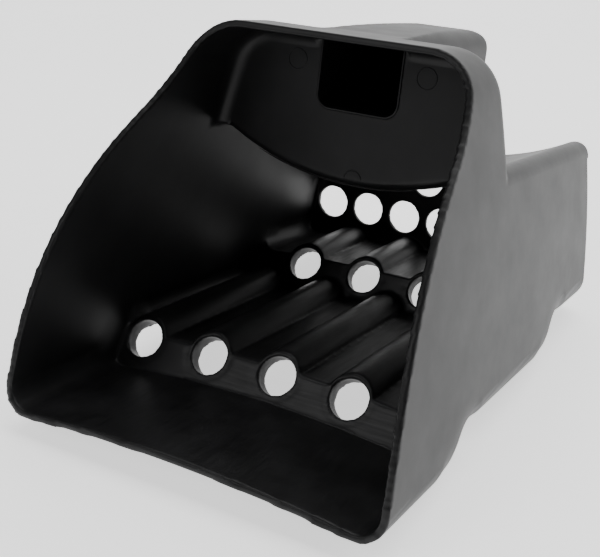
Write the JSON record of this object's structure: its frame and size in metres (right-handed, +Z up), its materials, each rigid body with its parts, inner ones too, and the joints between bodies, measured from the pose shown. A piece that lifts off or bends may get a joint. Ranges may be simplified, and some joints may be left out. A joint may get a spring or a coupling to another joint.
{
  "type": "sand scoop sieve",
  "caption": "Hand-held sand scoop with a stepped, perforated floor and back wall, a hood over the mouth and a hollow grip, for sifting finds out of sand or gravel",
  "frame": {"origin": "centre of the bounding box in X and Y, on the surface that the scoop rests on", "axes": "+X to the right seen from the mouth, +Y from the lip to the back wall, +Z up. The mould's pull direction dips 8.2 degrees towards the back in this resting position"},
  "size_m": [0.1492, 0.2262, 0.1347],
  "materials": {
    "black_plastic": "satin"
  },
  "bodies": {
    "root": {"front_lip": "black_plastic", "front_riser": "black_plastic", "middle_floor": "black_plastic", "middle_channel_1": "black_plastic", "middle_channel_2": "black_plastic", "middle_channel_3": "black_plastic", "middle_channel_4": "black_plastic", "middle_channel_5": "black_plastic", "rear_riser": "black_plastic", "rear_floor": "black_plastic", "rear_channel_1": "black_plastic", "rear_channel_2": "black_plastic", "rear_channel_3": "black_plastic", "rear_channel_4": "black_plastic", "left_lip_corner": "black_plastic", "right_lip_corner": "black_plastic", "left_middle_corner": "black_plastic", "right_middle_corner": "black_plastic", "left_rear_corner": "black_plastic", "right_rear_corner": "black_plastic", "left_side_wall": "black_plastic", "right_side_wall": "black_plastic", "back_wall": "black_plastic", "hood_roof": "black_plastic", "left_roof_corner": "black_plastic", "right_roof_corner": "black_plastic", "hood_rear_edge": "black_plastic", "bulkhead": "black_plastic", "hand_recess": "black_plastic", "left_shoulder": "black_plastic", "right_shoulder": "black_plastic", "grip_roof": "black_plastic", "grip_left_side": "black_plastic", "grip_right_side": "black_plastic", "grip_underside": "black_plastic", "grip_end": "black_plastic"}
  },
  "joints": []
}
